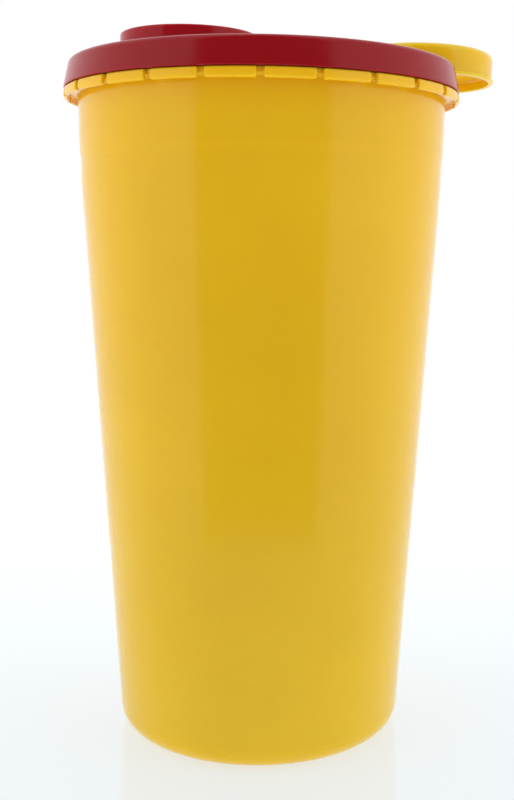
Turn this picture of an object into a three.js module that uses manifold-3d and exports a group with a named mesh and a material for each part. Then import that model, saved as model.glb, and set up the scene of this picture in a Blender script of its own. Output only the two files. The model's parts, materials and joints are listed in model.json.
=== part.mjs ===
// Round sharps container: a tapered cup with a slotted guard ring, a press-on lid with an off-centre
// drop collar, and a captive closure cap that folds over the collar. Millimetres, +Z up, the front at -Y.
// The origin is the centre of the base, on the surface that the cup stands on.
import * as THREE from "three";
import { mergeVertices } from "three/addons/utils/BufferGeometryUtils.js";
import Module from "manifold-3d";

const wasm = await Module();
wasm.setup();

const CLEARANCE = 0.3; // between pieces that touch
const ROUND_STEPS = 72; // steps round the large turned pieces, a multiple of the guard ring's slots
const MEDIUM_STEPS = 48; // steps round the collar, the stripper and the tether's ring
const SMALL_STEPS = 24; // steps round the hinge's barrel, pin and lugs

const CUP = {
  baseRadius: 49.3, // the wall's straight taper, carried down to the floor
  cornerRadius: 7.3,
  cornerEnd: -3, // degrees, where the base's corner meets the taper
  floor: 2,
  wall: 1.5,
  taperTop: { r: 60.4, z: 188 },
  stepLow: { r: 60.5, z: 194.8 },
  stepHigh: { r: 60.85, z: 197.7 },
  shoulder: { r: 61.2, z: 216.1 },
  rim: { r: 61, z: 224.2, draft: 0.2 },
  snapBead: { r: 62.2, low: 221.2, high: 222.4, ramp: 1.2 },
};

// The guard ring: a plate round the cup with a skirt that hangs from its edge, cut into tabs by slots.
const GUARD = {
  radius: 65.9,
  top: 217.5,
  bottom: 214.6,
  wall: 1.3,
  edgeRound: 0.9,
  draft: 0.2,
  slots: 24,
  slotWidth: 2.3,
  slotRoot: 64.2,
  slotPhase: -0.8, // degrees, the front slot's turn from -Y towards +X
};

const LID = {
  bottom: 218,
  top: 226.9,
  plate: 1.5,
  skirtRadius: 65.9,
  shoulderRadius: 64.3,
  edgeRadius: 1.9,
  edgeStart: 12, // degrees, where the drafted skirt meets the top edge's arc
  wall: 1.5,
  beadGap: 0.8, // round the cup's snap bead
  snapBead: { r: 62.7, low: 219.6, high: 220.4, ramp: 0.6 },
  rib: { r: 59.1, wall: 1.2, depth: 4 },
};

const COLLAR = {
  x: -23.5,
  y: -15,
  radius: 22.2,
  foot: 22.4,
  bore: 20.4,
  height: 7.1,
  ledge: 18.6, // radius of the hole in the lid's plate, which leaves a ledge inside the collar
  edge: 0.7,
};
const RETAINER = { r: 22.95, low: 2.3, high: 3.1, ramp: 0.2 }; // a bead on the collar, over the tether's ring

const STRIPPER = { radius: 20.1, plate: 2, rim: 1.2, height: 3.6, drop: 12.5, notches: 3 };
const NOTCH = { reach: 17, root: 3.2, tip: 1.3 }; // half widths where a notch leaves the drop, and at its end

const TETHER = { bore: 22.8, radius: 25.5, thickness: 1.6, armRoot: 24 };
const HINGE = {
  reach: 47.2, // from the drop's centre
  lugRadius: 3.1,
  lugWidth: 4,
  lugSlope: 1.4,
  barrelRadius: 2.9,
  barrelWidth: 7,
  gap: 0.4,
};
const LUG_INNER = HINGE.barrelWidth / 2 + HINGE.gap;
const LUG_OUTER = LUG_INNER + HINGE.lugWidth;
const PIN = { radius: 1.2, headRadius: 2.1, head: 1, hole: 1.5, tail: 0.8 };
const CLOSURE_AZIMUTH = THREE.MathUtils.degToRad(29.9); // from the drop's centre to the open cap's, from +X

const CAP = {
  height: 10.2,
  radius: 25.4,
  lip: 26,
  wall: 1.6,
  lipEdge: 0.3,
  lipHeight: 0.9,
  rimRound: 2.6,
  rimBore: 23.4,
  rimDepth: 1.2, // of the bore that snaps over the collar
  webLow: 3.5,
  webHigh: 4.9,
  dishWall: 1.2,
  dishDraft: 0.3,
  plug: { r: 20, wall: 1.2, depth: 3 },
  strap: { thickness: 1.8, width: 16, neck: 5, spread: 4, root: 23.9 },
};

// Open, the cap rests on the lid's edge and droops outwards. Closed, it lies level above the tether's ring.
const DROOP = THREE.MathUtils.degToRad(1.9);
const OPEN_HEIGHT = 0.2; // of the open cap's dished face above the lid's plate, on the cap's axis
const CLOSED_TOP = 2 * CLEARANCE + TETHER.thickness + CAP.height;
const HINGE_HEIGHT =
  (OPEN_HEIGHT + HINGE.reach * Math.sin(DROOP) + CLOSED_TOP * Math.cos(DROOP)) / (1 + Math.cos(DROOP));
const BARREL_HEIGHT = CLOSED_TOP - HINGE_HEIGHT; // above the cap's dished face

const YELLOW = new THREE.MeshStandardMaterial({ color: 0xe8b92c, roughness: 0.28, metalness: 0 });
const RED = new THREE.MeshStandardMaterial({ color: 0x9c1222, roughness: 0.3, metalness: 0 });

// A three.js geometry as a manifold-3d solid.
function solid(geometry) {
  const bare = geometry.index ? geometry.toNonIndexed() : geometry.clone();
  bare.deleteAttribute("normal");
  bare.deleteAttribute("uv");
  const merged = mergeVertices(bare, 1e-4);
  return new wasm.Manifold(
    new wasm.Mesh({
      numProp: 3,
      vertProperties: merged.attributes.position.array,
      triVerts: new Uint32Array(merged.index.array),
    }),
  );
}

// A manifold-3d solid as a named mesh.
function part(name, shape, material) {
  const made = shape.getMesh();
  const geometry = new THREE.BufferGeometry();
  geometry.setAttribute("position", new THREE.BufferAttribute(new Float32Array(made.vertProperties), 3));
  geometry.setIndex(new THREE.BufferAttribute(new Uint32Array(made.triVerts), 1));
  geometry.computeVertexNormals();
  const mesh = new THREE.Mesh(geometry, material);
  mesh.name = name;
  return mesh;
}

// Points [r, z] of an arc in a profile, angles in degrees from +r towards +z.
function arc(r, z, radius, from, to, steps) {
  return Array.from({ length: steps + 1 }, (_, i) => {
    const angle = THREE.MathUtils.degToRad(from + ((to - from) * i) / steps);
    return [r + radius * Math.cos(angle), z + radius * Math.sin(angle)];
  });
}

// A solid of revolution about +Z from points [r, z], outer side upwards and inner side down again.
function turned(profile, steps = ROUND_STEPS) {
  const points = profile.map(([r, z]) => new THREE.Vector2(r, z));
  if (profile[0][0] > 0) points.push(points[0].clone());
  const lathe = new THREE.LatheGeometry(points, steps);
  lathe.rotateX(Math.PI / 2);
  return solid(lathe);
}

// A flat outline in the XY plane, raised from z = low to z = high.
function plate(shape, low, high, curveSteps = 8) {
  const raised = new THREE.ExtrudeGeometry(shape, {
    depth: high - low,
    bevelEnabled: false,
    curveSegments: curveSteps,
  });
  raised.translate(0, 0, low);
  return solid(raised);
}

// A rod along Y from y = from to y = to, with its axis at (x, z).
function crossRod(radius, x, z, from, to) {
  const rod = new THREE.CylinderGeometry(radius, radius, to - from, SMALL_STEPS);
  rod.translate(0, (from + to) / 2, 0);
  return solid(rod).translate([x, 0, z]);
}

// A cylinder along Z, centred on the origin.
function upright(radius, height) {
  return solid(new THREE.CylinderGeometry(radius, radius, height, MEDIUM_STEPS).rotateX(Math.PI / 2));
}

function outline(points) {
  return new THREE.Shape(points.map(([x, y]) => new THREE.Vector2(x, y)));
}

// The cup: base, tapered wall with its stepped band, guard ring, snap bead and rim.
function makeCup() {
  const { wall, cornerRadius, floor, shoulder, rim, snapBead } = CUP;
  const footRadius = CUP.baseRadius - cornerRadius;
  const innerCorner = cornerRadius - wall;
  const ringBore = GUARD.radius - GUARD.wall;
  const { edgeRound } = GUARD;
  const profile = [
    [0, 0],
    ...arc(footRadius, cornerRadius, cornerRadius, -90, CUP.cornerEnd, 6),
    [CUP.taperTop.r, CUP.taperTop.z],
    [CUP.stepLow.r, CUP.stepLow.z],
    [CUP.stepHigh.r, CUP.stepHigh.z],
    [shoulder.r, shoulder.z],
    [ringBore, shoulder.z],
    [ringBore, GUARD.bottom],
    ...arc(GUARD.radius - edgeRound, GUARD.bottom + edgeRound, edgeRound, -90, 0, 3),
    [GUARD.radius - GUARD.draft, GUARD.top],
    [shoulder.r, GUARD.top],
    [rim.r, snapBead.low - snapBead.ramp],
    [snapBead.r, snapBead.low],
    [snapBead.r, snapBead.high],
    [rim.r, snapBead.high + snapBead.ramp],
    [rim.r - rim.draft, rim.z],
    [rim.r - wall + rim.draft, rim.z],
    [shoulder.r - wall, shoulder.z],
    [CUP.stepHigh.r - wall, CUP.stepHigh.z],
    [CUP.stepLow.r - wall, CUP.stepLow.z],
    [CUP.taperTop.r - wall, CUP.taperTop.z],
    ...arc(footRadius + rim.draft, floor + innerCorner, innerCorner, 0, -90, 4),
    [0, floor],
  ];
  const reach = GUARD.radius - GUARD.slotRoot + 1;
  const slot = new THREE.BoxGeometry(GUARD.slotWidth, reach, GUARD.top - GUARD.bottom + 1);
  slot.translate(0, -GUARD.slotRoot - reach / 2, (GUARD.top + GUARD.bottom) / 2);
  const slotSolid = solid(slot);
  let cup = turned(profile);
  for (let i = 0; i < GUARD.slots; i++) {
    cup = cup.subtract(slotSolid.rotate([0, 0, GUARD.slotPhase + (360 * i) / GUARD.slots]));
  }
  return cup;
}

// The lid: plate, drafted skirt with its snap bead, sealing rib, drop collar and the collar's ledge.
function makeLid() {
  const { bottom, top, edgeRadius, snapBead, rib } = LID;
  const under = top - LID.plate;
  const ribInner = rib.r - rib.wall;
  const cover = turned([
    [0, under],
    [ribInner, under],
    [ribInner, under - rib.depth],
    [rib.r, under - rib.depth],
    [rib.r, under],
    [CUP.snapBead.r, under],
    [CUP.snapBead.r + LID.beadGap, CUP.snapBead.high + CUP.snapBead.ramp],
    [CUP.snapBead.r + LID.beadGap, snapBead.high + snapBead.ramp],
    [snapBead.r, snapBead.high],
    [snapBead.r, snapBead.low],
    [LID.skirtRadius - LID.wall, bottom + snapBead.ramp],
    [LID.skirtRadius - LID.wall, bottom],
    [LID.skirtRadius, bottom],
    ...arc(LID.shoulderRadius - edgeRadius, top - edgeRadius, edgeRadius, LID.edgeStart, 90, 4),
    [0, top],
  ]);
  const wallFoot = top - LID.plate / 2;
  const collar = turned(
    [
      [COLLAR.bore, wallFoot],
      [COLLAR.foot, wallFoot],
      [COLLAR.foot, top + RETAINER.low - RETAINER.ramp],
      [RETAINER.r, top + RETAINER.low + RETAINER.ramp],
      [RETAINER.r, top + RETAINER.high - RETAINER.ramp],
      [COLLAR.radius, top + RETAINER.high + RETAINER.ramp],
      ...arc(COLLAR.radius - COLLAR.edge, top + COLLAR.height - COLLAR.edge, COLLAR.edge, 0, 90, 2),
      [COLLAR.bore, top + COLLAR.height],
    ],
    MEDIUM_STEPS,
  );
  const hole = upright(COLLAR.ledge, 4 * LID.plate);
  const place = [COLLAR.x, COLLAR.y, 0];
  return cover.add(collar.translate(place)).subtract(hole.translate([COLLAR.x, COLLAR.y, top]));
}

// The insert in the drop collar: a shallow tray whose opening has tapered notches that pull needles off.
function makeStripper() {
  const { radius, plate: thickness, rim, height, drop, notches } = STRIPPER;
  let tray = turned(
    [
      [0, 0],
      [radius, 0],
      [radius, height],
      [radius - rim, height],
      [radius - rim, thickness],
      [0, thickness],
    ],
    MEDIUM_STEPS,
  );
  tray = tray.subtract(upright(drop, 3 * thickness).translate([0, 0, thickness / 2]));
  const notch = new THREE.Shape();
  notch.moveTo(0, -NOTCH.root);
  notch.lineTo(NOTCH.reach - NOTCH.tip, -NOTCH.tip);
  notch.absarc(NOTCH.reach - NOTCH.tip, 0, NOTCH.tip, -Math.PI / 2, Math.PI / 2, false);
  notch.lineTo(0, NOTCH.root);
  const cutter = plate(notch, -thickness, 2 * thickness);
  for (let i = 0; i < notches; i++) {
    tray = tray.subtract(cutter.rotate([0, 0, 90 + (360 * i) / notches]));
  }
  return tray;
}

// The tether: a ring that turns round the collar, and an arm that carries the hinge's two lugs.
// Its own frame has the drop's centre at the origin and the arm along +X.
function makeTether() {
  const { reach, lugRadius, lugWidth } = HINGE;
  const { bore, radius, thickness, armRoot } = TETHER;
  const low = CLEARANCE;
  const high = low + thickness;
  const armEnd = reach + lugRadius;
  const lugFoot = reach - lugRadius - HINGE.lugSlope;
  const ring = turned([[bore, low], [radius, low], [radius, high], [bore, high]], MEDIUM_STEPS);
  const arm = outline([
    [armRoot, -LUG_OUTER],
    [armEnd, -LUG_OUTER],
    [armEnd, LUG_OUTER],
    [armRoot, LUG_OUTER],
  ]);
  const side = new THREE.Shape();
  side.moveTo(lugFoot, low);
  side.lineTo(armEnd, low);
  side.lineTo(armEnd, HINGE_HEIGHT);
  side.absarc(reach, HINGE_HEIGHT, lugRadius, 0, Math.PI, false);
  side.lineTo(lugFoot, low);
  const lug = plate(side, 0, lugWidth, SMALL_STEPS / 2).rotate([90, 0, 0]);
  return ring
    .add(plate(arm, low, high))
    .add(lug.translate([0, -LUG_INNER, 0]))
    .add(lug.translate([0, LUG_OUTER, 0]))
    .subtract(crossRod(PIN.hole, reach, HINGE_HEIGHT, -2 * LUG_OUTER, 2 * LUG_OUTER));
}

// The closure cap, open: its dished top faces down and the skirt that snaps over the collar faces up.
// Its own frame has the cap's axis along +Z, the dish's edge at z = 0 and the hinge along -X.
function makeCap() {
  const { height, radius, lip, lipEdge, lipHeight, wall, webLow, webHigh, dishWall, plug, strap } = CAP;
  const { rimRound, rimBore, rimDepth } = CAP;
  const bore = radius - wall;
  const rimStart = height - rimRound;
  const rimEnd = THREE.MathUtils.radToDeg(Math.acos((rimBore - radius + rimRound) / rimRound));
  const shell = turned([
    [0, webLow],
    [radius - dishWall - CAP.dishDraft, webLow],
    [radius - dishWall, 0],
    [lip - lipEdge, 0],
    [lip, lipEdge],
    [lip, lipHeight],
    [radius, lipHeight + lip - radius],
    ...arc(radius - rimRound, rimStart, rimRound, 0, rimEnd, 4),
    [rimBore, height - rimDepth],
    [bore, height - rimDepth - (bore - rimBore)],
    [bore, webHigh],
    [plug.r, webHigh],
    [plug.r, webHigh + plug.depth],
    [plug.r - plug.wall, webHigh + plug.depth],
    [plug.r - plug.wall, webHigh],
    [0, webHigh],
  ]);
  const neckHalf = HINGE.barrelWidth / 2;
  const neckEnd = strap.neck - HINGE.reach;
  const strapLow = BARREL_HEIGHT - strap.thickness / 2;
  const strapPlate = plate(
    outline([
      [-HINGE.reach, -neckHalf],
      [neckEnd, -neckHalf],
      [neckEnd + strap.spread, -strap.width / 2],
      [-strap.root, -strap.width / 2],
      [-strap.root, strap.width / 2],
      [neckEnd + strap.spread, strap.width / 2],
      [neckEnd, neckHalf],
      [-HINGE.reach, neckHalf],
    ]),
    strapLow,
    strapLow + strap.thickness,
  );
  return shell
    .add(strapPlate)
    .add(crossRod(HINGE.barrelRadius, -HINGE.reach, BARREL_HEIGHT, -neckHalf, neckHalf))
    .subtract(crossRod(PIN.hole, -HINGE.reach, BARREL_HEIGHT, -2 * neckHalf, 2 * neckHalf));
}

// The hinge pin, its axis along Y through the origin.
function makePin() {
  const headStart = LUG_OUTER + CLEARANCE;
  const shaft = crossRod(PIN.radius, 0, 0, -LUG_OUTER - PIN.tail, headStart + PIN.head / 2);
  return shaft.add(crossRod(PIN.headRadius, 0, 0, headStart, headStart + PIN.head));
}

const stripper = part("needle_stripper", makeStripper(), RED);
stripper.position.set(COLLAR.x, COLLAR.y, LID.top + CLEARANCE);

const cap = part("closure_cap", makeCap(), YELLOW);
cap.position.set(HINGE.reach, 0, -BARREL_HEIGHT);

const hinge = new THREE.Group();
hinge.position.set(HINGE.reach, 0, HINGE_HEIGHT);
hinge.rotation.y = DROOP;
hinge.add(part("hinge_pin", makePin(), YELLOW), cap);

const closure = new THREE.Group();
closure.position.set(COLLAR.x, COLLAR.y, LID.top);
closure.rotation.z = CLOSURE_AZIMUTH;
closure.add(part("tether", makeTether(), YELLOW), hinge);

const container = new THREE.Group();
container.add(part("container_body", makeCup(), YELLOW), part("lid", makeLid(), RED), stripper, closure);

export default container;
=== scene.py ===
"""Looks of a round sharps container: a tapered yellow cup with a castellated guard ring, a red press-on lid
with an off-centre drop collar, and a yellow closure cap hinged to a ring round that collar.

Shapes are written in millimetres, as the part's own drawing is, and made in metres.
"""

import json
import math

import bpy
from mathutils import Matrix, Vector


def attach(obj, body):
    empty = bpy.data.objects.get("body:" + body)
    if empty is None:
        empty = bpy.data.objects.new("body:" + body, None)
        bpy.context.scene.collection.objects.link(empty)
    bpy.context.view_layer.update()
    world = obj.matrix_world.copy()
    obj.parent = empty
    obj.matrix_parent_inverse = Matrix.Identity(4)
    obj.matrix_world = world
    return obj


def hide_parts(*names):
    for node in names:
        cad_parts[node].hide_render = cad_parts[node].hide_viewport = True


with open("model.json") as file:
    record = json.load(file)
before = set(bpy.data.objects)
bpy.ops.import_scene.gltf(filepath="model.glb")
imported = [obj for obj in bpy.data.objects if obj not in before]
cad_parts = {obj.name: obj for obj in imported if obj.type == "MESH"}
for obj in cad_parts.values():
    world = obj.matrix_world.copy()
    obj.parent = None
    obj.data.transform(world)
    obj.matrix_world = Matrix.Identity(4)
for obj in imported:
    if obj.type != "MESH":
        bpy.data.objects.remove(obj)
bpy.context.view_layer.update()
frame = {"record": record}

MM = 0.001
CLEARANCE = 0.3       # the gap between pieces that lie on or turn against each other
OVERCUT = 1.0         # how far a cutting tool reaches past what it cuts
TOOL_EDGE = 0.01      # the rounding of a cutting tool's own edges, next to none
FINE_STEPS = 360      # columns round the cup and the lid
MEDIUM_STEPS = 192    # columns round the collar, the cap, the tether's ring and the stripper
SMALL_STEPS = 48      # columns round the hinge's barrel and pin
TAB_STEPS = 12        # lengths along one tab of the guard ring
ARC_STEP = 15         # degrees of an arc between two points of a profile
SHARP_ANGLE = 32      # degrees between faces from which an edge is shaded sharp

# Dimensions in millimetres and angles in degrees. Points are (radius, height), a bead is (radius,
# lower end, upper end), the rib is (radius, wall, depth) and the web is (underside, top). Heights are
# over the floor for the cup, guard ring and lid, over the lid's plate for the collar and its bead,
# and within the piece for the rest. The guard ring's top is 0.35 above the part's own, which closes
# most of the gap that would show below the lid.
CUP = dict(base=49.3, corner=7.3, corner_end=-3, corner_inset=0.2, floor=2.0, wall=1.5,
           taper_top=(60.4, 188.0), step_low=(60.5, 194.8), step_high=(60.85, 197.7),
           shoulder=(61.2, 216.1), rim=(61.0, 224.2), rim_draft=0.2,
           bead=(62.2, 221.2, 222.4), bead_ramp=1.2)
GATE = dict(pip=1.1, pip_lift=0.15, pip_draft=0.3, recess=5.0, depth=0.6, slope=0.6)
GUARD = dict(radius=65.9, top=217.85, bottom=214.6, wall=1.3, edge=0.9, draft=0.2, top_round=1.1,
             slots=24, slot_width=2.3, slot_edge=0.35, root=64.2, sink=0.4, tuck=(0.1, 0.02), phase=-0.8)
LID = dict(bottom=218.0, top=226.9, plate=1.5, skirt=65.9, shoulder=64.3, edge=1.9, edge_start=12,
           wall=1.5, bead=(62.7, 219.6, 220.4), bead_ramp=0.6, bead_room=0.8, rib=(59.1, 1.2, 4.0))
COLLAR = dict(radius=22.2, foot=22.4, bore=20.4, height=7.1, ledge=18.6,
              bead=(22.95, 2.3, 3.1), bead_ramp=0.2)
STRIPPER = dict(radius=20.1, plate=2.0, rim=1.2, height=3.6, drop=12.5, notches=3)
NOTCH = dict(reach=17.0, root=3.2, tip=1.3)
TETHER = dict(bore=22.8, radius=25.5, thickness=1.6, arm_root=24.0)
HINGE = dict(reach=47.2, lug=3.1, lug_foot=4.5, lug_width=4.0, lug_gap=0.4, barrel=2.9, barrel_width=7.0)
LUG_INNER = HINGE["barrel_width"] / 2 + HINGE["lug_gap"]
LUG_OUTER = LUG_INNER + HINGE["lug_width"]
PIN = dict(radius=1.2, head_radius=2.1, head=1.0, tail=0.8, hole=1.5)
CAP = dict(height=10.2, radius=25.4, lip=26.0, lip_height=1.2, lip_bevel=0.3, lip_fall=0.35, wall=1.6,
           rim_round=2.6, rim_bore=23.4, rim_land=1.2, rim_ramp=0.7, web=(3.5, 4.9),
           dish_wall=1.2, dish_draft=0.3)
PLUG = dict(radius=20.0, wall=1.2, depth=3.0)
STRAP = dict(thickness=1.8, width=16.0, neck=5.0, shoulder=4.0, sink=0.6)

# Looks, tuned against the photograph: they aren't known properties of the plastics.
PAINTED_LIGHT_LOW_YELLOW = (0.77, 0.475, 0.01)   # the body at its base, paler: painted light from the glowing table below
YELLOW = (0.86, 0.487, 0.0085)     # the body from TINT_TOP upwards
TINT_TOP = 220
CAP_YELLOW = (0.79, 0.48, 0.008)
RED = (0.3, 0.0025, 0.006)
COLLAR_PAINTED_LIGHT_RED = (0.4, 0.004, 0.012)   # the collar, brighter than the lid's skirt: painted light through its thin wall
COLLAR_PAINTED_LIGHT_SPAN = (0.6, 2.6)           # heights above the lid's plate between which red turns to it
LID_SHEEN = {"Sheen Weight": 0.2, "Sheen Tint": (1, 0.08, 0.14, 1), "Sheen Roughness": 0.4}
PLASTIC_IOR = 1.49
NOISE_SPAN = (0.3, 0.7)            # the values that nearly all of a noise lies between
FLOW = dict(scale=18, detail=3, brightness=(0.965, 1.03))
GLOSS = dict(scale=60, detail=4, roughness=(0.11, 0.2))
PEEL = dict(scale=420, detail=2, strength=0.06, depth=0.0002)

# The stage, tuned in the same way. A _LIGHT is what a thing gives as a light, and a _LOOK is what
# it shows in reflections and, for the table, to the camera.
TABLE = dict(radius=250, thickness=6, edge=1, roughness=0.06, ior=1.45)
TABLE_COLOUR = (0.22, 0.25, 0.27, 1)
TABLE_GLOW = (0.94, 0.98, 1, 1)
TABLE_LIGHT, TABLE_LOOK = 0.95, 0.63
TENT_LIGHT, TENT_BACK_LIGHT, TENT_LOOK = 1.4, 0.9, 1.0
OPENING_LIGHT, OPENING_LOOK = 0.5, 0.15
OPENING_SIDE = (44, 39)            # degrees to either side of -Y where the opening starts and is full
OPENING_HEIGHT = (-50, -25)        # degrees above level where it starts and is full
TENT_BACK = (95, 150)              # degrees from -Y where the tent's back starts and is full
CAMERA = dict(lens=50.85, sensor=36, shift=-0.06, nearest=10, place=(-1.4, -392.1, 168.4),
              yaw=2.45, pitch=7.87, roll=0.61)

# ---------------------------------------------------------------- mesh tools


def arc(r, z, radius, start, end):
    """Points (r, z) of an arc, angles in degrees from +r towards +z."""
    count = max(2, math.ceil(abs(end - start) / ARC_STEP))
    angles = [math.radians(start + (end - start) * i / count) for i in range(count + 1)]
    return [(r + radius * math.cos(a), z + radius * math.sin(a)) for a in angles]


def fillet(before, corner, after, radius):
    """The arc that rounds a corner between two straight runs."""
    corner, before, after = Vector(corner), Vector(before), Vector(after)
    back, ahead = (before - corner).normalized(), (after - corner).normalized()
    half = back.angle(ahead) / 2
    shorter = min((before - corner).length, (after - corner).length)
    reach = min(radius / math.tan(half), 0.48 * shorter)    # a corner takes less than half of a run
    radius = reach * math.tan(half)
    centre = corner + (back + ahead).normalized() * (radius / math.sin(half))
    first, last = corner + back * reach - centre, corner + ahead * reach - centre
    sweep = math.pi - 2 * half
    if first.x * last.y - first.y * last.x < 0:
        sweep = -sweep
    count = max(2, math.ceil(math.degrees(abs(sweep)) / ARC_STEP))
    return [tuple(centre + Matrix.Rotation(sweep * i / count, 2) @ first) for i in range(count + 1)]


def rounded(points, closed=False):
    """A profile whose points (r, z, radius) become arcs; points (r, z) stay corners."""
    made = []
    for i, point in enumerate(points):
        if len(point) == 2:
            made.append(tuple(point))
            continue
        before, after = points[i - 1][:2], points[(i + 1) % len(points)][:2]
        made += fillet(before, point[:2], after, point[2])
    return filled(made, closed)


def filled(profile, closed=False, longest=7.0, hold=0.5):
    """Splits the long runs of a profile, with a point close to each end so that shading stays even."""
    made = []
    ends = profile[1:] + ([profile[0]] if closed else [])
    for (r0, z0), (r1, z1) in zip(profile, ends):
        length = math.hypot(r1 - r0, z1 - z0)
        places = [0.0]
        if length > 3 * hold:
            inner = max(1, math.ceil((length - 2 * hold) / longest))
            places += [(hold + (length - 2 * hold) * i / inner) / length for i in range(inner + 1)]
        made += [(r0 + (r1 - r0) * t, z0 + (z1 - z0) * t) for t in places]
    return made if closed else made + [profile[-1]]


def mesh_object(name, points, faces):
    """An object in metres from points in millimetres."""
    mesh = bpy.data.meshes.new(name)
    mesh.from_pydata([[c * MM for c in p] for p in points], [], faces)
    mesh.validate()
    obj = bpy.data.objects.new(name, mesh)
    bpy.context.scene.collection.objects.link(obj)
    return obj


def turned(name, profile, steps, closed=False):
    """A surface of revolution about +Z. An open profile starts and ends on the axis, outer side upwards."""
    points, faces, rings = [], [], []
    for r, z in profile:
        count = steps if r > 1e-6 else 1
        rings.append(range(len(points), len(points) + count))
        for i in range(count):
            a = 2 * math.pi * i / steps
            points.append((r * math.sin(a), -r * math.cos(a), z))
    pairs = list(zip(rings, rings[1:])) + ([(rings[-1], rings[0])] if closed else [])
    for low, high in pairs:
        for i in range(steps):
            j = (i + 1) % steps
            corners = [low[i % len(low)], low[j % len(low)], high[j % len(high)], high[i % len(high)]]
            faces.append(list(dict.fromkeys(corners)))
    return mesh_object(name, points, faces)


def lofted(sections):
    """Points and faces of a closed solid through sections of equal length, capped at both ends."""
    count = len(sections[0])
    points = [p for section in sections for p in section]
    faces = [list(range(count))[::-1], list(range(len(points) - count, len(points)))]
    for row in range(len(sections) - 1):
        for i in range(count):
            j = (i + 1) % count
            base = row * count
            faces.append([base + i, base + j, base + count + j, base + count + i])
    return points, faces


def inset(outline, distance):
    """An outline of (x, y), counter-clockwise, moved inwards."""
    made = []
    for i, point in enumerate(outline):
        here, before = Vector(point), Vector(outline[i - 1])
        after = Vector(outline[(i + 1) % len(outline)])
        a, b = (here - before).normalized(), (after - here).normalized()
        normal_a, normal_b = Vector((-a.y, a.x)), Vector((-b.y, b.x))
        bisector = normal_a + normal_b
        made.append(tuple(here + bisector * (distance / max(0.3, bisector.length_squared / 2))))
    return made


def eased_ends(length, edge, steps=3):
    """Pairs (place along a length, inset) that round both ends of a solid."""
    turns = [math.pi / 2 * i / steps for i in range(steps + 1)]
    near = [(edge * (1 - math.cos(t)), edge * (1 - math.sin(t))) for t in turns]
    return near + [(length - place, depth) for place, depth in reversed(near)]


def plate(name, outline, low, high, edge=0.3):
    """A flat outline raised from z = low to z = high, with rounded edges."""
    sections = [[(x, y, low + place) for x, y in inset(outline, depth)]
                for place, depth in eased_ends(high - low, edge)]
    return mesh_object(name, *lofted(sections))


def rod(name, radius, start, end, edge=0.2):
    """A round rod along +Y from y = start to y = end through the origin."""
    length = end - start
    profile = rounded([(0, 0), (radius, 0, edge), (radius, length, edge), (0, length)])
    along_y = at(0, start, 0) @ Matrix.Rotation(-math.pi / 2, 4, "X")
    return placed(turned(name, profile, SMALL_STEPS), along_y)


def placed(obj, matrix):
    """Moves an object's mesh, so that the object itself stays at the origin."""
    obj.data.transform(matrix)
    return obj


def at(x, y, z):
    """A move in millimetres."""
    return Matrix.Translation((x * MM, y * MM, z * MM))


def boolean(obj, tool, operation):
    """Joins a closed tool to a closed object, or cuts it out, and removes the tool."""
    modifier = obj.modifiers.new("boolean", "BOOLEAN")
    modifier.operation = operation
    modifier.solver = "MANIFOLD"
    modifier.object = tool
    graph = bpy.context.evaluated_depsgraph_get()
    graph.update()
    made = bpy.data.meshes.new_from_object(obj.evaluated_get(graph))
    obj.modifiers.clear()
    old, obj.data = obj.data, made
    bpy.data.meshes.remove(old)
    tool_mesh = tool.data
    bpy.data.objects.remove(tool)
    bpy.data.meshes.remove(tool_mesh)
    return obj


def join(obj, tool):
    return boolean(obj, tool, "UNION")


def cut(obj, tool):
    return boolean(obj, tool, "DIFFERENCE")


def finished(obj, material, body, node):
    """Shading, material, and what the piece stands for in the part."""
    obj.data.name = obj.name
    obj.data.materials.clear()
    obj.data.materials.append(material)
    for polygon in obj.data.polygons:
        polygon.use_smooth = True
    obj.data.set_sharp_from_angle(angle=math.radians(SHARP_ANGLE))
    modifier = obj.modifiers.new("even_normals", "WEIGHTED_NORMAL")
    modifier.keep_sharp = True
    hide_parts(node)
    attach(obj, body)
    return obj


# ---------------------------------------------------------------- pieces


def cup_profile():
    """The cup without its tabs: base with a gate mark, tapered wall with its step, the guard ring's
    root, snap bead and rim. Points are (r, z) or (r, z, corner radius), from the axis up the outside."""
    corner, wall, floor = CUP["corner"], CUP["wall"], CUP["floor"]
    foot = CUP["base"] - corner
    inner_corner = corner - wall
    shoulder_r, shoulder_z = CUP["shoulder"]
    rim_r, rim_z = CUP["rim"]
    bead_r, bead_low, bead_high = CUP["bead"]
    ramp, draft = CUP["bead_ramp"], CUP["rim_draft"]
    pip, lift, recess, depth = GATE["pip"], GATE["pip_lift"], GATE["recess"], GATE["depth"]
    gate = [(0, lift), (pip, lift, 0.2), (pip + GATE["pip_draft"], depth, 0.1), (recess, depth, 0.3),
            (recess + GATE["slope"], 0, 0.3)]
    outer = arc(foot, corner, corner, -90, CUP["corner_end"])
    outer += [CUP["taper_top"] + (30,), CUP["step_low"] + (2,), CUP["step_high"] + (2,),
              (shoulder_r, shoulder_z, 0.6), (GUARD["root"], shoulder_z, 0.15),
              (GUARD["root"], GUARD["top"], 0.15), (shoulder_r, GUARD["top"], 0.5),
              (rim_r, bead_low - ramp, 0.6), (bead_r, bead_low, 0.4), (bead_r, bead_high, 0.4),
              (rim_r, bead_high + ramp, 0.5), (rim_r - draft, rim_z, 0.3)]
    inner = [(rim_r - wall + draft, rim_z, 0.3), (shoulder_r - wall, shoulder_z)]
    inner += [(r - wall, z) for r, z in (CUP["step_high"], CUP["step_low"], CUP["taper_top"])]
    inner += arc(foot + CUP["corner_inset"], floor + inner_corner, inner_corner, 0, -90)
    return rounded(gate + outer + inner + [(0, floor)])


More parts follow.
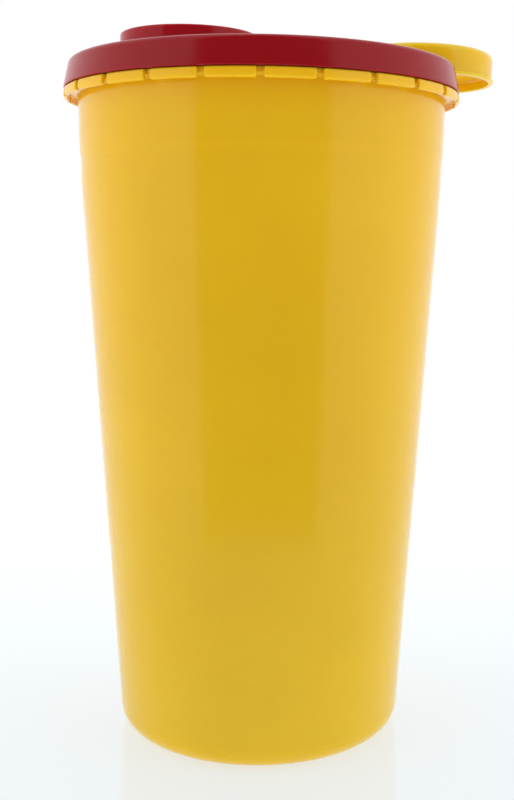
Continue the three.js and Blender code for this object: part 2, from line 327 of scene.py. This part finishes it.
def guard_tabs():
    """The guard ring's hanging skirt as one mesh of closed tabs, their roots sunk into the ring. The
    roots' faces are tucked in a little, because faces that coincide don't join cleanly."""
    radius, bottom, wall, edge = (GUARD[k] for k in ("radius", "bottom", "wall", "edge"))
    tuck_under, tuck_top = GUARD["tuck"]
    root, top = GUARD["root"] - GUARD["sink"], GUARD["top"] - tuck_top
    under = CUP["shoulder"][1] + tuck_under
    section = rounded(
        [(root, under), (radius - wall, under, 0.4), (radius - wall, bottom, 0.25)]
        + arc(radius - edge, bottom + edge, edge, -90, 0)
        + [(radius - GUARD["draft"], top, GUARD["top_round"]), (root, top)], closed=True)
    slot_turn = math.degrees(GUARD["slot_width"] / 2 / radius)
    pitch = 360 / GUARD["slots"]
    length = math.radians(pitch - 2 * slot_turn) * radius
    ends = eased_ends(length, GUARD["slot_edge"])
    middle = len(ends) // 2
    between = [(length * i / TAB_STEPS, 0.0) for i in range(1, TAB_STEPS)]
    places = ends[:middle] + between + ends[middle:]
    points, faces = [], []
    for tab in range(GUARD["slots"]):
        start = math.radians(GUARD["phase"] + tab * pitch + slot_turn)
        sections = []
        for place, depth in places:
            turn = start + place / radius
            sections.append([(r * math.sin(turn), -r * math.cos(turn), z)
                             for r, z in inset(section, depth)])
        tab_points, tab_faces = lofted(sections)
        faces += [[len(points) + i for i in reversed(face)] for face in tab_faces]
        points += tab_points
    return mesh_object("guard_tabs", points, faces)


def make_cup():
    """The cup with its guard ring."""
    cup = turned("cup_shell", cup_profile(), FINE_STEPS)
    return join(cup, guard_tabs())


def make_lid(drop):
    """The lid: plate, drafted skirt with its snap bead, sealing rib, and drop collar with its ledge."""
    bottom, top, edge, skirt = LID["bottom"], LID["top"], LID["edge"], LID["skirt"]
    under = top - LID["plate"]
    skirt_bore = skirt - LID["wall"]
    bead_r, bead_low, bead_high = LID["bead"]
    rib_r, rib_wall, rib_depth = LID["rib"]
    cup_bead_r, _, cup_bead_high = CUP["bead"]
    room = cup_bead_r + LID["bead_room"]
    cover = turned("lid_cover", rounded(
        [(0, under), (rib_r - rib_wall, under, 0.4), (rib_r - rib_wall, under - rib_depth, 0.3),
         (rib_r, under - rib_depth, 0.5), (rib_r, under, 0.4), (cup_bead_r, under, 0.4),
         (room, cup_bead_high + CUP["bead_ramp"], 0.3), (room, bead_high + LID["bead_ramp"], 0.2),
         (bead_r, bead_high, 0.2), (bead_r, bead_low, 0.2),
         (skirt_bore, bottom + LID["bead_ramp"], 0.2), (skirt_bore, bottom, 0.2), (skirt, bottom, 0.35)]
        + arc(LID["shoulder"] - edge, top - edge, edge, LID["edge_start"], 90)
        + [(0, top)]), FINE_STEPS)

    bore, ledge, mouth = COLLAR["bore"], COLLAR["ledge"], top + COLLAR["height"]
    foot = top - LID["plate"] / 2
    collar_bead, bead_from, bead_to = COLLAR["bead"]
    ramp = COLLAR["bead_ramp"]
    collar = turned("lid_collar", rounded([
        (bore, foot), (COLLAR["foot"], foot), (COLLAR["foot"], top + bead_from - ramp, 0.2),
        (collar_bead, top + bead_from + ramp, 0.25), (collar_bead, top + bead_to - ramp, 0.25),
        (COLLAR["radius"], top + bead_to + ramp, 0.2), (COLLAR["radius"], mouth, 0.7),
        (bore, mouth, 0.5),
    ], closed=True), MEDIUM_STEPS, closed=True)
    hole = turned("collar_hole", [(0, under - OVERCUT), (ledge, under - OVERCUT), (ledge, top + OVERCUT),
                                  (0, top + OVERCUT)], MEDIUM_STEPS)
    lid = join(cover, placed(collar, at(drop.x, drop.y, 0)))
    return cut(lid, placed(hole, at(drop.x, drop.y, 0)))


def make_stripper():
    """A shallow tray whose opening has tapered notches that pull needles off."""
    radius, height, floor = STRIPPER["radius"], STRIPPER["height"], STRIPPER["plate"]
    rim, opening = STRIPPER["rim"], STRIPPER["drop"]
    tray = turned("stripper_tray", rounded([
        (opening, 0, 0.3), (radius, 0, 0.3), (radius, height, 0.35), (radius - rim, height, 0.35),
        (radius - rim, floor, 0.3), (opening, floor, 0.6),
    ], closed=True), MEDIUM_STEPS, closed=True)
    tip = arc(NOTCH["reach"] - NOTCH["tip"], 0, NOTCH["tip"], -90, 90)
    outline = [(0, -NOTCH["root"])] + tip + [(0, NOTCH["root"])]
    for i in range(STRIPPER["notches"]):
        notch = plate("notch", outline, -OVERCUT, floor + OVERCUT, edge=TOOL_EDGE)
        turn = Matrix.Rotation(math.radians(90 + 360 * i / STRIPPER["notches"]), 4, "Z")
        tray = cut(tray, placed(notch, turn))
    return tray


def make_tether(hinge_height):
    """A ring round the collar, and an arm that carries the hinge's two lugs. The arm points along +X."""
    low, high = CLEARANCE, CLEARANCE + TETHER["thickness"]
    bore, radius, arm_root = TETHER["bore"], TETHER["radius"], TETHER["arm_root"]
    reach, lug, lug_width = HINGE["reach"], HINGE["lug"], HINGE["lug_width"]
    arm_end = reach + lug
    ring = turned("tether_ring", rounded([(bore, low, 0.3), (radius, low, 0.3), (radius, high, 0.3),
                                          (bore, high, 0.3)], closed=True), MEDIUM_STEPS, closed=True)
    arm = plate("tether_arm", [(arm_root, -LUG_OUTER), (arm_end, -LUG_OUTER), (arm_end, LUG_OUTER),
                               (arm_root, LUG_OUTER)], low, high)
    tether = join(ring, arm)
    side = [(reach - HINGE["lug_foot"], low), (arm_end, low)] + arc(reach, hinge_height, lug, 0, 180)
    upright = Matrix.Rotation(math.pi / 2, 4, "X")
    for start in (-LUG_OUTER, LUG_INNER):
        block = plate("tether_lug", side, 0, lug_width)
        tether = join(tether, placed(block, at(0, start + lug_width, 0) @ upright))
    hole = rod("pin_hole", PIN["hole"], -LUG_OUTER - OVERCUT, LUG_OUTER + OVERCUT)
    return cut(tether, placed(hole, at(reach, 0, hinge_height)))


def make_pin():
    """The hinge pin, its axis along Y through the origin."""
    head_start = LUG_OUTER + CLEARANCE
    head_end = head_start + PIN["head"]
    shaft = rod("hinge_pin_shaft", PIN["radius"], -LUG_OUTER - PIN["tail"], head_start + PIN["head"] / 2)
    head = rod("pin_head", PIN["head_radius"], head_start, head_end, edge=0.3)
    return join(shaft, head)


def cap_profile():
    """The cap's half section: web, dish and lip, rounded rim and its bore, and the plug."""
    height, radius, bore = CAP["height"], CAP["radius"], CAP["radius"] - CAP["wall"]
    lip, lip_height, bevel = CAP["lip"], CAP["lip_height"], CAP["lip_bevel"]
    rim_round, rim_bore, (web_low, web_high) = CAP["rim_round"], CAP["rim_bore"], CAP["web"]
    land = height - CAP["rim_land"]
    dish = radius - CAP["dish_wall"]
    plug, plug_bore, plug_end = PLUG["radius"], PLUG["radius"] - PLUG["wall"], web_high + PLUG["depth"]
    rim_end = math.degrees(math.acos((rim_bore - radius + rim_round) / rim_round))
    return rounded(
        [(0, web_low), (dish - CAP["dish_draft"], web_low, 0.8), (dish, 0, 0.25),
         (lip - bevel, 0, 0.15), (lip, bevel, 0.15), (lip, lip_height - CAP["lip_fall"], 0.2),
         (radius, lip_height, 0.3)]
        + arc(radius - rim_round, height - rim_round, rim_round, 0, rim_end)
        + [(rim_bore, land, 0.3), (bore, land - CAP["rim_ramp"], 0.4), (bore, web_high, 0.6),
           (plug, web_high, 0.4), (plug, plug_end, 0.4), (plug_bore, plug_end, 0.3),
           (plug_bore, web_high, 0.4), (0, web_high)])


def make_cap(barrel_height):
    """The closure cap, open: its dished top faces down, and the rim that snaps over the collar up."""
    shell = turned("cap_shell", cap_profile(), MEDIUM_STEPS)
    barrel_half, strap_half, reach = HINGE["barrel_width"] / 2, STRAP["width"] / 2, HINGE["reach"]
    neck = STRAP["neck"] - reach
    shoulder = neck + STRAP["shoulder"]
    root = CAP["wall"] - CAP["radius"] - STRAP["sink"]
    near_side = [(-reach, -barrel_half), (neck, -barrel_half), (shoulder, -strap_half),
                 (root, -strap_half)]
    far_side = [(x, -y) for x, y in reversed(near_side)]
    strap = plate("cap_strap", near_side + far_side, barrel_height - STRAP["thickness"] / 2,
                  barrel_height + STRAP["thickness"] / 2)
    axis = at(-reach, 0, barrel_height)
    barrel = placed(rod("cap_barrel", HINGE["barrel"], -barrel_half, barrel_half), axis)
    hole = placed(rod("pin_hole", PIN["hole"], -barrel_half - OVERCUT, barrel_half + OVERCUT), axis)
    return cut(join(join(shell, strap), barrel), hole)


# ---------------------------------------------------------------- node tools


def feed(tree, socket, value):
    """Links an output to a socket, or sets the socket to a plain value."""
    if isinstance(value, bpy.types.NodeSocket):
        tree.links.new(value, socket)
    else:
        socket.default_value = value


def noise(tree, place, scale, detail):
    """Noise by place; the scale is per metre."""
    node = tree.nodes.new("ShaderNodeTexNoise")
    for name, value in (("Vector", place), ("Scale", scale), ("Detail", detail)):
        feed(tree, node.inputs[name], value)
    return node.outputs["Fac"]


def mapped(tree, value, source, target, interpolation="LINEAR"):
    """A value taken from one range to another, and held at the ends."""
    node = tree.nodes.new("ShaderNodeMapRange")
    node.interpolation_type = interpolation
    for name, number in zip(("From Min", "From Max", "To Min", "To Max"), (*source, *target)):
        node.inputs[name].default_value = number
    feed(tree, node.inputs["Value"], value)
    return node.outputs["Result"]


def mixed(tree, factor, first, second):
    """A number that goes from first to second as the factor goes from 0 to 1."""
    node = tree.nodes.new("ShaderNodeMix")
    for name, value in (("Factor", factor), ("A", first), ("B", second)):
        feed(tree, node.inputs[name], value)
    return node.outputs["Result"]


def worked(tree, operation, *values):
    """The result of one Math node."""
    node = tree.nodes.new("ShaderNodeMath")
    node.operation = operation
    for socket, value in zip(node.inputs, values):
        feed(tree, socket, value)
    return node.outputs[0]


def split_axes(tree, place):
    """The X, Y and Z of a place or direction, by name."""
    node = tree.nodes.new("ShaderNodeSeparateXYZ")
    tree.links.new(place, node.inputs[0])
    return node.outputs


# ---------------------------------------------------------------- materials


def new_material(name):
    """A new material, its node tree and its shader."""
    material = bpy.data.materials.new(name)
    material.use_nodes = True
    return material, material.node_tree, material.node_tree.nodes["Principled BSDF"]


def moulded(name, colours, scatter, scatter_radius, specular):
    """Moulded polypropylene: faint flow shading, fine orange-peel gloss, soft scattering. Its colour
    runs between two pairs of (height, colour)."""
    material, tree, shader = new_material(name)
    shader.inputs["IOR"].default_value = PLASTIC_IOR
    shader.inputs["Specular IOR Level"].default_value = specular
    shader.inputs["Subsurface Weight"].default_value = scatter
    shader.inputs["Subsurface Radius"].default_value = scatter_radius
    shader.inputs["Subsurface Scale"].default_value = 1.0
    place = tree.nodes.new("ShaderNodeTexCoord").outputs["Object"]

    ramp = tree.nodes.new("ShaderNodeValToRGB")
    ramp.color_ramp.interpolation = "EASE"
    for end, (height, colour) in zip(ramp.color_ramp.elements, colours):
        end.position, end.color = height * MM, (*colour, 1)
    tree.links.new(split_axes(tree, place)["Z"], ramp.inputs["Fac"])
    flow = noise(tree, place, FLOW["scale"], FLOW["detail"])
    shaded = tree.nodes.new("ShaderNodeVectorMath")
    shaded.operation = "SCALE"
    tree.links.new(ramp.outputs["Color"], shaded.inputs[0])
    tree.links.new(mapped(tree, flow, NOISE_SPAN, FLOW["brightness"]), shaded.inputs["Scale"])
    tree.links.new(shaded.outputs["Vector"], shader.inputs["Base Color"])

    gloss = noise(tree, place, GLOSS["scale"], GLOSS["detail"])
    tree.links.new(mapped(tree, gloss, NOISE_SPAN, GLOSS["roughness"]), shader.inputs["Roughness"])

    bump = tree.nodes.new("ShaderNodeBump")
    bump.inputs["Strength"].default_value = PEEL["strength"]
    bump.inputs["Distance"].default_value = PEEL["depth"]
    tree.links.new(noise(tree, place, PEEL["scale"], PEEL["detail"]), bump.inputs["Height"])
    tree.links.new(bump.outputs["Normal"], shader.inputs["Normal"])
    return material


def floor_material():
    """A pale, glossy table that also glows."""
    material, tree, shader = new_material("pale_floor")
    shader.inputs["Base Color"].default_value = TABLE_COLOUR
    shader.inputs["Roughness"].default_value = TABLE["roughness"]
    shader.inputs["IOR"].default_value = TABLE["ior"]
    shader.inputs["Emission Color"].default_value = TABLE_GLOW
    light = tree.nodes.new("ShaderNodeLightPath").outputs
    seen = worked(tree, "ADD", light["Is Camera Ray"], light["Is Glossy Ray"])
    glow = mapped(tree, seen, (0, 1), (TABLE_LIGHT, TABLE_LOOK))
    tree.links.new(glow, shader.inputs["Emission Strength"])
    return material


# ---------------------------------------------------------------- stage


def tent_directions(tree):
    """Two masks by direction: the light tent's dark opening, on the -Y side, and the tent's back."""
    axes = split_axes(tree, tree.nodes.new("ShaderNodeTexCoord").outputs["Generated"])
    side = worked(tree, "ARCTAN2", worked(tree, "ABSOLUTE", axes["X"]),
                  worked(tree, "MULTIPLY", axes["Y"], -1))
    height = worked(tree, "ARCSINE", axes["Z"])

    def within(angle, span):
        return mapped(tree, angle, [math.radians(a) for a in span], (0, 1), "SMOOTHSTEP")

    opening = worked(tree, "MULTIPLY", within(side, OPENING_SIDE), within(height, OPENING_HEIGHT))
    return opening, within(side, TENT_BACK)


def make_stage():
    """A plain pale floor, and soft white light from all round but for the tent's opening."""
    radius, under, edge = TABLE["radius"], -TABLE["thickness"], TABLE["edge"]
    profile = rounded([(0, under), (radius, under, edge), (radius, 0, edge), (0, 0)])
    floor = turned("floor", profile, FINE_STEPS)
    floor.data.materials.append(floor_material())

    world = bpy.data.worlds.new("studio")
    bpy.context.scene.world = world
    world.use_nodes = True
    tree = world.node_tree
    background = tree.nodes["Background"]
    background.inputs["Color"].default_value = (1, 1, 1, 1)
    light = tree.nodes.new("ShaderNodeLightPath").outputs
    reflected, seen = light["Is Glossy Ray"], light["Is Camera Ray"]
    opening, back = tent_directions(tree)
    dark = mapped(tree, reflected, (0, 1), (OPENING_LIGHT, OPENING_LOOK))
    cloth = mixed(tree, reflected, mapped(tree, back, (0, 1), (TENT_LIGHT, TENT_BACK_LIGHT)), TENT_LOOK)
    tent = mixed(tree, opening, cloth, dark)
    tree.links.new(mixed(tree, seen, tent, 1.0), background.inputs["Strength"])


def make_camera():
    """The photograph's camera, looking a little down, from a perspective fit to its ellipses."""
    data = bpy.data.cameras.new("camera")
    data.lens = CAMERA["lens"]
    data.sensor_width = CAMERA["sensor"]
    data.shift_x = CAMERA["shift"]
    data.clip_start = CAMERA["nearest"] * MM
    camera = bpy.data.objects.new("camera", data)
    bpy.context.scene.collection.objects.link(camera)
    yaw, pitch, roll = (math.radians(CAMERA[k]) for k in ("yaw", "pitch", "roll"))
    camera.rotation_mode = "QUATERNION"
    camera.rotation_quaternion = (
        Matrix.Rotation(-yaw, 3, "Z") @ Matrix.Rotation(math.pi / 2 - pitch, 3, "X") @
        Matrix.Rotation(roll, 3, "Z")).to_quaternion()
    camera.location = Vector(CAMERA["place"]) * MM
    bpy.context.scene.camera = camera


# ---------------------------------------------------------------- the container

bpy.context.scene.view_settings.view_transform = "Standard"
make_camera()
make_stage()

joints = {joint["name"]: joint for joint in frame["record"]["behaviour"]["joints"]}
drop = Vector(joints["tether_turn"]["pos_m"]) / MM
hinge = Vector(joints["cap_flip"]["pos_m"]) / MM
azimuth = math.atan2(hinge.y - drop.y, hinge.x - drop.x)
hinge_height = hinge.z - drop.z
closed_top = 2 * CLEARANCE + TETHER["thickness"] + CAP["height"]
barrel_height = closed_top - hinge_height
droop = math.radians(joints["cap_flip"]["range_deg"][1] - 180)

painted_light_start, painted_light_end = (LID["top"] + height for height in COLLAR_PAINTED_LIGHT_SPAN)
# the body's colour turns paler towards its base: painted light
body_plastic = moulded("body_plastic", ((0, PAINTED_LIGHT_LOW_YELLOW), (TINT_TOP, YELLOW)),
                       scatter=0.5, scatter_radius=(0.003, 0.0028, 0.0003), specular=0.3)
closure_plastic = moulded("closure_plastic", ((0, CAP_YELLOW), (TINT_TOP, CAP_YELLOW)),
                          scatter=0.85, scatter_radius=(0.007, 0.005, 0.0004), specular=0.38)
# the lid's red turns to the collar's brighter red: painted light
lid_plastic = moulded("lid_plastic", ((painted_light_start, RED), (painted_light_end, COLLAR_PAINTED_LIGHT_RED)),
                      scatter=0.4, scatter_radius=(0.003, 0.0001, 0.0001), specular=0.27)
for socket, value in LID_SHEEN.items():
    lid_plastic.node_tree.nodes["Principled BSDF"].inputs[socket].default_value = value

group = at(*drop) @ Matrix.Rotation(azimuth, 4, "Z")
hinge_place = group @ at(HINGE["reach"], 0, hinge_height) @ Matrix.Rotation(droop, 4, "Y")

finished(make_cup(), body_plastic, "container", "container_body")
finished(make_lid(drop), lid_plastic, "lid", "lid")
stripper = placed(make_stripper(), at(drop.x, drop.y, LID["top"] + CLEARANCE))
finished(stripper, lid_plastic, "lid", "needle_stripper")
finished(placed(make_tether(hinge_height), group), closure_plastic, "tether", "tether")
finished(placed(make_pin(), hinge_place), closure_plastic, "tether", "hinge_pin")
cap = placed(make_cap(barrel_height), hinge_place @ at(HINGE["reach"], 0, -barrel_height))
finished(cap, closure_plastic, "closure", "closure_cap")
